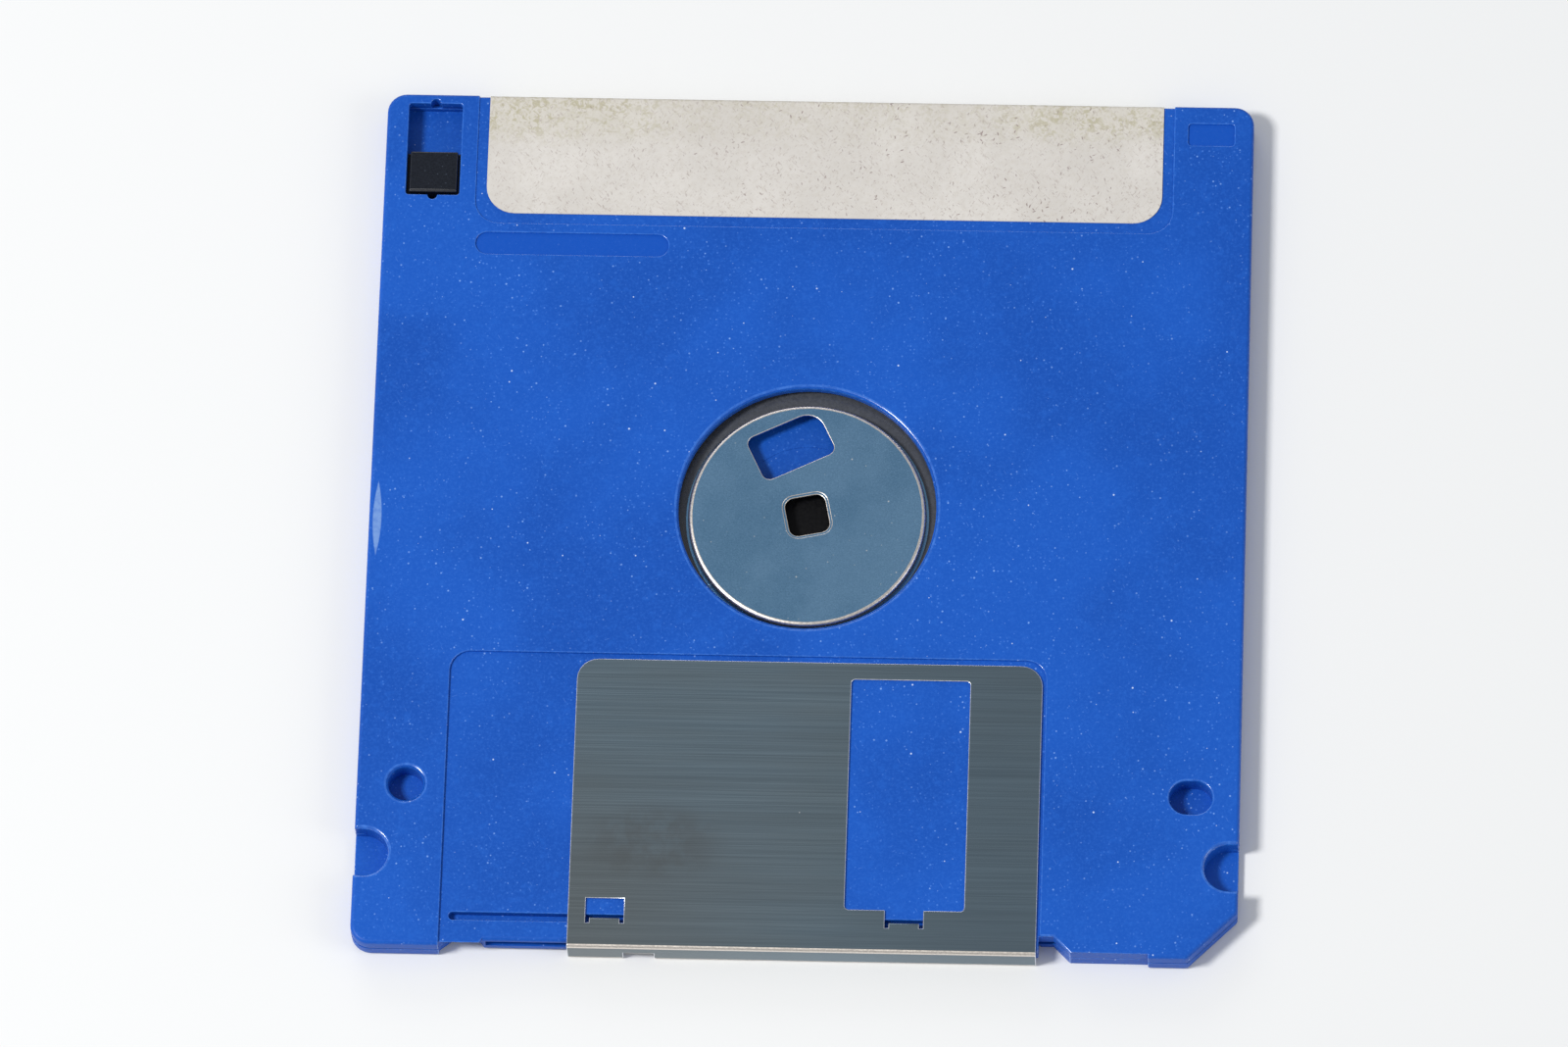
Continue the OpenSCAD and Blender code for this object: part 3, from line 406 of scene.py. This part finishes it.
def fibre(name):
    """Bonded pale fibres that lie at two angles."""
    s = Shade(name)
    n = s.most([s.streaks((1.4, 0.16, 0.16), 3, 0.6, turn) for turn in (0.5, -0.9)])
    s.set(Base_Color=s.mix(s.ramp(n, 0.45, 0.75), (0.62, 0.62, 0.59), (0.86, 0.86, 0.83)), Roughness=0.9)
    s.bump(n, 0.6, 0.06)
    return s.mat


def label_paper():
    """Grey-white paper with grime along the rear edge, dark fibres and brown dots."""
    s = Shade("label_paper")
    cloud = s.noise(0.10, 4, 0.6)
    col = s.mix(s.ramp(cloud, 0.35, 0.68), LABEL["dark"], LABEL["light"])
    mottle = s.noise(1.5, 4, 0.7)
    col = s.mix(s.ramp(mottle, 0.42, 0.70, 0.0, 0.45), col, LABEL["mottle"])
    # olive grime along the rear edge, deepest at the left end, then at the right
    edge_left = s.times(s.ramp(s.y, 40.6, 44.6), s.ramp(s.x, -24.0, -12.0, 1.0, 0.25))
    edge_right = s.times(s.ramp(s.y, 41.6, 45.2), s.ramp(s.x, 14.0, 24.0, 0.10, 0.95))
    edge = s.most([edge_left, edge_right, s.ramp(s.y, 44.8, 46.6, 0.0, 0.5)])
    curls = s.ramp(s.noise(1.25, 4, 0.62, distortion=1.6), 0.45, 0.60)
    grime = s.times(edge, s.times(curls, s.ramp(s.noise(0.35, 4, 0.65), 0.34, 0.56)))
    col = s.mix(s.times(grime, 0.85), col, LABEL["grime"])
    col = s.mix(s.times(edge, 0.25), col, LABEL["yellowed"])
    # short dark fibres at random angles, thinner toward the left
    turns = ((1.25, (0, 0, 0)), (2.3, (7, 2, 0.1)), (0.35, (3, 11, 0.2)), (1.8, (13, 5, 0.3)))
    fibres = s.most([s.specks(cell=(1.25, 0.44, 0.42), radius=0.21, share=0.60, turn=turn, shift=shift)
                     for turn, shift in turns])
    strength = s.times(s.ramp(s.noise(0.22, 3), 0.38, 0.62, 0.35, 1.0), s.ramp(s.x, -30.0, 0.0, 0.40, 1.0))
    col = s.mix(s.times(s.times(fibres, strength), 0.85), col, LABEL["fibre"])
    hairs = s.most([s.streaks((0.62, 0.17, 0.3), 2, 0.6, turn, shift)
                    for turn, shift in ((1.0, (0, 0, 0)), (2.3, (5, 2, 0.4)))])
    col = s.mix(s.times(s.ramp(hairs, 0.61, 0.70), 0.50), col, LABEL["hair"])
    dots = s.specks(cell=0.8, radius=0.115, share=0.35, turn=0.2, shift=(1, 8, 0))
    col = s.mix(s.times(dots, 0.40), col, LABEL["dot"])
    s.set(Base_Color=col, Roughness=s.ramp(mottle, 0.3, 0.7, 0.58, 0.74), Specular_IOR_Level=0.28)
    s.bump(mottle, 0.22, 0.015)
    s.bump(s.noise(0.25, 2), 0.25, 0.08)
    return s.mat


def soften(bm, rounds):
    """Rounds the convex edges that each round picks, and leaves what an earlier round made."""
    done = bm.faces.layers.int.new("softened")
    for width, (least, greatest), material, rule in rounds:
        sharp = []
        for e in bm.edges:
            if len(e.link_faces) != 2 or not least < math.degrees(e.calc_face_angle(0)) < greatest:
                continue
            if any(f[done] for f in e.link_faces) or not e.is_convex:
                continue
            if rule((e.verts[0].co + e.verts[1].co) / (2 * MM)):
                sharp.append(e)
        made = bmesh.ops.bevel(bm, geom=sharp, offset=width * MM, offset_type="OFFSET",
                               segments=ROUND_SEGMENTS, profile=0.5, affect="EDGES", clamp_overlap=False,
                               material=material)
        for f in made["faces"]:
            f[done] = 1
    bm.faces.layers.int.remove(done)
    bmesh.ops.remove_doubles(bm, verts=bm.verts, dist=WELD)


def settle_order(bm):
    """Puts the faces in an order that is the same in each run."""
    bm.verts.index_update()
    order = {f: i for i, f in enumerate(sorted(bm.faces, key=lambda f: [v.index for v in f.verts]))}
    bm.faces.sort(key=lambda f: order[f])


def softened_mesh(node, piece_name, rounds, faces):
    """The node's mesh with softened edges, held inside the node's own box."""
    bm = bmesh.new()
    bm.from_mesh(frame["nodes"][node].data)
    bmesh.ops.remove_doubles(bm, verts=bm.verts, dist=WELD)
    bmesh.ops.dissolve_limit(bm, angle_limit=math.radians(FLAT_ANGLE), verts=bm.verts, edges=bm.edges)
    if faces:
        for f in bm.faces:
            f.material_index = faces(f.calc_center_median() / MM, f.normal)
    soften(bm, rounds)
    low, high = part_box(node)
    for v in bm.verts:
        v.co = [min(max(c, a), b) for c, a, b in zip(v.co, low, high)]
    for f in bm.faces:
        f.smooth = True
    for e in bm.edges:
        e.smooth = len(e.link_faces) == 2 and e.calc_face_angle(0) < math.radians(SHARP_ANGLE)
    settle_order(bm)
    mesh = bpy.data.meshes.new(piece_name)
    bm.to_mesh(mesh)
    bm.free()
    return mesh


def weight_normals(obj):
    """Gives the mesh normals that keep flat faces flat beside the softened edges."""
    obj.modifiers.new("even_normals", "WEIGHTED_NORMAL").keep_sharp = True
    bpy.context.view_layer.update()
    even = bpy.data.meshes.new_from_object(obj.evaluated_get(bpy.context.evaluated_depsgraph_get()))
    obj.modifiers.clear()
    obj.data = even
    even.name = obj.name


def dressed(node, piece_name, materials, rounds=(), faces=None):
    """A softened copy of the node, which stands for it, rides on its body and has its material slot.

    The faces rule gives a face's material number from its middle in mm and its normal.
    """
    mesh = softened_mesh(node, piece_name, rounds, faces)
    for m in materials:
        mesh.materials.append(m)
    obj = bpy.data.objects.new(piece_name, mesh)
    scene.collection.objects.link(obj)
    weight_normals(obj)
    record = frame["record"]
    body = next(b for b, nodes in record["behaviour"]["bodies"].items() if node in nodes)
    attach(obj, body)
    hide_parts(node)


def paint(node, material):
    """Gives a CAD node its material."""
    obj = frame["nodes"][node]
    if not obj.material_slots:
        obj.data.materials.append(material)
    for ms in obj.material_slots:
        ms.material = material


def anywhere(p):
    return True


def at_grip(p):
    """The top edges of the two handling notches."""
    return abs(p.x) > NOTCH_X and abs(p.y - NOTCH_Y) < NOTCH_REACH and p.z > TOP_Z


def at_lead_in(p):
    """The top edges of the front ramp and of the two locating holes."""
    ramp = RAMP_X0 < p.x < RAMP_X1 and p.y < RAMP_Y and p.z > RAMP_Z
    return ramp or (math.hypot(abs(p.x) - HOLE_X, p.y - HOLE_Y) < HOLE_REACH and p.z > TOP_Z)


def near_sides(p):
    """Beside the outline, except at the slot in the nose that the shutter's spring tab runs in."""
    slot = TAB_SLOT_X0 < p.x < TAB_SLOT_X1 and p.y < TAB_SLOT_Y
    return not slot and (abs(p.x) > OUTLINE_X or abs(p.y) > OUTLINE_Y)


def steel_face(p, n):
    """The shutter's material numbers: its cut edges and the outside of its fold, which get bright steel as
    painted highlights.
    """
    if p.y < FOLD_Y and n.y < -0.15 and abs(n.z) > 0.15:
        return FOLD
    if abs(n.z) < 0.3 and p.z > SHEET_Z and p.y > FOLD_Y:
        return EDGE
    return EDGE if abs(n.x) > 0.7 else FACE


def hub_face(p, n):
    """The hub's material numbers: its rounded rim gets warm bright steel as a painted highlight."""
    return EDGE if math.hypot(p.x, p.y - HUB_Y) > HUB_RIM_R and 0.12 < n.z < 0.995 else FACE


edge_blue = worn_and_highlit_blue_edge()
dressed("hub_side_shell", "hub_side_case", [blue_plastic("blue_case_plastic"), edge_blue],
        [Round(0.24, CHAMFERS, EDGE, lambda p: p.z > 2.8),
         Round(0.35, CORNERS, EDGE, at_grip),
         Round(0.20, CORNERS, EDGE, at_lead_in),
         Round(0.11, MOST_EDGES, EDGE, lambda p: p.z > 2.9 or near_sides(p))])
dressed("label_side_shell", "label_side_case", [blue_plastic("blue_case_plastic_under"), edge_blue],
        [Round(0.24, CHAMFERS, EDGE, lambda p: p.z < 0.5),
         Round(0.11, MOST_EDGES, EDGE, lambda p: p.z < 0.3 or near_sides(p))])
# the shutter's cut edges get bright steel and its fold warm bright steel, as painted highlights
dressed("shutter", "steel_shutter",
        [shutter_steel(), cut_steel("cut_edge_painted_highlight", (0.93, 0.95, 0.98), 0.30),
         cut_steel("fold_painted_highlight", (0.88, 0.81, 0.74), 0.36)],
        [Round(0.07, SHEET_EDGES, EDGE, anywhere)], steel_face)
# the hub's rounded rim gets warm bright steel as a painted highlight
dressed("hub", "steel_hub", [hub_steel(), cut_steel("hub_rim_painted_highlight", (0.93, 0.86, 0.79), 0.34)],
        [Round(0.08, SHEET_EDGES, EDGE, anywhere)], hub_face)
# the slide's softened edges get a paler, glossier black as a painted highlight
dressed("write_protect_slide", "black_slide",
        [slide_plastic(),
         plain("slide_edge_painted_highlight", (0.016, 0.018, 0.023), (0.030, 0.032, 0.038), 0.20, spec=0.7)],
        [Round(0.14, MOST_EDGES, EDGE, anywhere)])
dressed("label", "paper_label", [label_paper()])

paint("magnetic_disk", plain("coated_magnetic_film", (0.050, 0.055, 0.068), (0.066, 0.072, 0.088), 0.27,
                             bump=0.05, depth=0.005, spec=0.6))
paint("hub_adhesive_ring", plain("adhesive", (0.66, 0.62, 0.48), (0.76, 0.72, 0.58), 0.5))
paint("hub_side_liner", fibre("liner_fibre_upper"))
paint("label_side_liner", fibre("liner_fibre_lower"))
paint("liner_lifter", plain("lifter_film", (0.66, 0.65, 0.60), (0.76, 0.75, 0.70), 0.4))
paint("hub_wear_pad", plain("pad_plastic", (0.003, 0.003, 0.004), (0.006, 0.006, 0.007), 0.45, spec=0.12))
paint("shutter_spring", cut_steel("spring_wire", (0.60, 0.60, 0.58), 0.26))


def stage_plane(half_size, colour):
    """The plain pale floor."""
    bm = bmesh.new()
    bmesh.ops.create_grid(bm, x_segments=1, y_segments=1, size=half_size)
    mesh = bpy.data.meshes.new("floor")
    bm.to_mesh(mesh)
    bm.free()
    floor = bpy.data.objects.new("floor", mesh)
    scene.collection.objects.link(floor)
    mat = bpy.data.materials.new("pale_floor")
    mat.use_nodes = True
    b = mat.node_tree.nodes["Principled BSDF"]
    b.inputs["Base Color"].default_value = (*colour, 1)
    b.inputs["Roughness"].default_value = 0.9
    b.inputs["Specular IOR Level"].default_value = 0.1
    mesh.materials.append(mat)


def area(name, place, size, power, colour=(1, 1, 1)):
    """A rectangular lamp that points at the origin. Place and size are in metres, power in watts."""
    data = bpy.data.lights.new(name, "AREA")
    data.shape = "RECTANGLE"
    data.size, data.size_y = size
    data.energy = power
    data.color = colour
    obj = bpy.data.objects.new(name, data)
    obj.location = place
    obj.rotation_euler = (-Vector(place)).to_track_quat("-Z", "Y").to_euler()
    scene.collection.objects.link(obj)


def pale_world(colour, strength):
    world = bpy.data.worlds.new("studio")
    scene.world = world
    world.use_nodes = True
    bg = world.node_tree.nodes["Background"]
    bg.inputs["Color"].default_value = (*colour, 1)
    bg.inputs["Strength"].default_value = strength


def camera(place, turns, focal_px, frame_width_px):
    """The camera that was fitted to the photograph. Place is in metres, turns are (degrees, axis)."""
    cam = bpy.data.cameras.new("camera")
    cam.sensor_fit = "HORIZONTAL"
    cam.sensor_width = 36
    cam.lens = focal_px / frame_width_px * cam.sensor_width
    cam.clip_start = 0.05
    cam.clip_end = 20
    obj = bpy.data.objects.new("camera", cam)
    scene.collection.objects.link(obj)
    turn = Matrix.Identity(4)
    for degrees, axis in turns:
        turn = turn @ Matrix.Rotation(math.radians(degrees), 4, axis)
    obj.matrix_world = Matrix.Translation(Vector(place)) @ turn
    scene.camera = obj


stage_plane(half_size=3.0, colour=(0.80, 0.81, 0.82))
area("key", (-0.69, -0.22, 1.01), (0.24, 0.24), 12.0, (1.0, 0.985, 0.96))
area("side", (0.95, -0.25, 0.55), (0.5, 0.6), 2.2, (0.97, 0.985, 1.0))
area("rear", (-0.35, 1.10, 0.55), (0.8, 0.4), 2.0)
pale_world(colour=(0.93, 0.95, 0.97), strength=0.42)
camera(place=(0.05705, -0.52684, 1.31862), turns=((6.435, "Z"), (21.938, "X"), (-4.968, "Z")),
       focal_px=14106.6, frame_width_px=1600)

bpy.context.view_layer.update()
